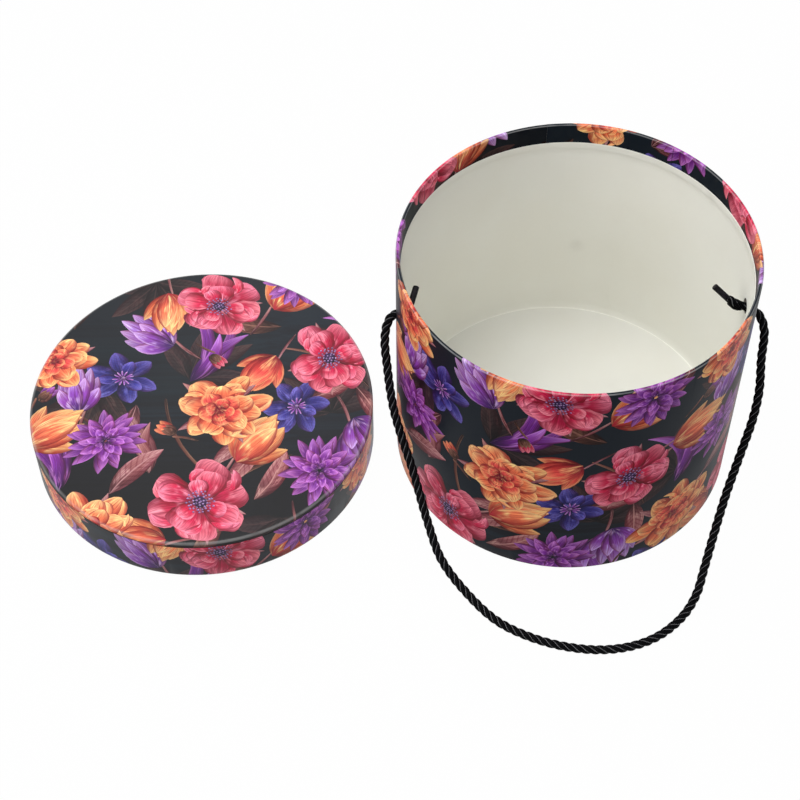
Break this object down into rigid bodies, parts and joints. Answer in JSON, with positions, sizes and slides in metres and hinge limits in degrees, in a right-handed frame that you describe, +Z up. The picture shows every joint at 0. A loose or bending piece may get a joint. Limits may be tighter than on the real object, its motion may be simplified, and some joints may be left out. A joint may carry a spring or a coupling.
{
  "type": "hat box",
  "caption": "Round rigid paper-covered hat box with a separate slip-on lid and a twisted cord handle held inside the wall by toggle bars.",
  "frame": {"origin": "centre of the box's underside, on the floor", "axes": "+Z up, +X from the lid towards the box and along the line through the two cord holes, -Y to the side where the handle's loop lies"},
  "size_m": [0.6484, 0.4, 0.245],
  "materials": {
    "greyboard": "matt grey board",
    "printed_paper": "satin printed paper, dark with bright flowers",
    "black_paper": "matt black paper",
    "cream_paper": "fine linen-embossed cream paper",
    "black_cord": "satin twisted cord",
    "black_plastic": "smooth black"
  },
  "bodies": {
    "box": {"wall_board": "greyboard", "base_board": "greyboard", "wall_cover": "printed_paper", "base_cover": "black_paper", "wall_lining": "cream_paper", "floor_lining": "cream_paper"},
    "lid": {"lid_top_board": "greyboard", "lid_band_board": "greyboard", "lid_top_cover": "printed_paper", "lid_side_cover": "printed_paper", "lid_top_lining": "cream_paper", "lid_band_lining": "cream_paper"},
    "handle": {"cord_handle": "black_cord", "left_toggle_bar": "black_plastic", "right_toggle_bar": "black_plastic"}
  },
  "joints": [
    {"name": "lid_lift", "type": "slide", "parent": "box", "child": "lid", "axis": [0, 0, 1], "range_m": [0, 0.3]},
    {"name": "handle_swing", "type": "hinge", "parent": "box", "child": "handle", "pos_m": [0, 0, 0.172], "axis": [-1, 0, 0], "range_deg": [0, 250]}
  ]
}
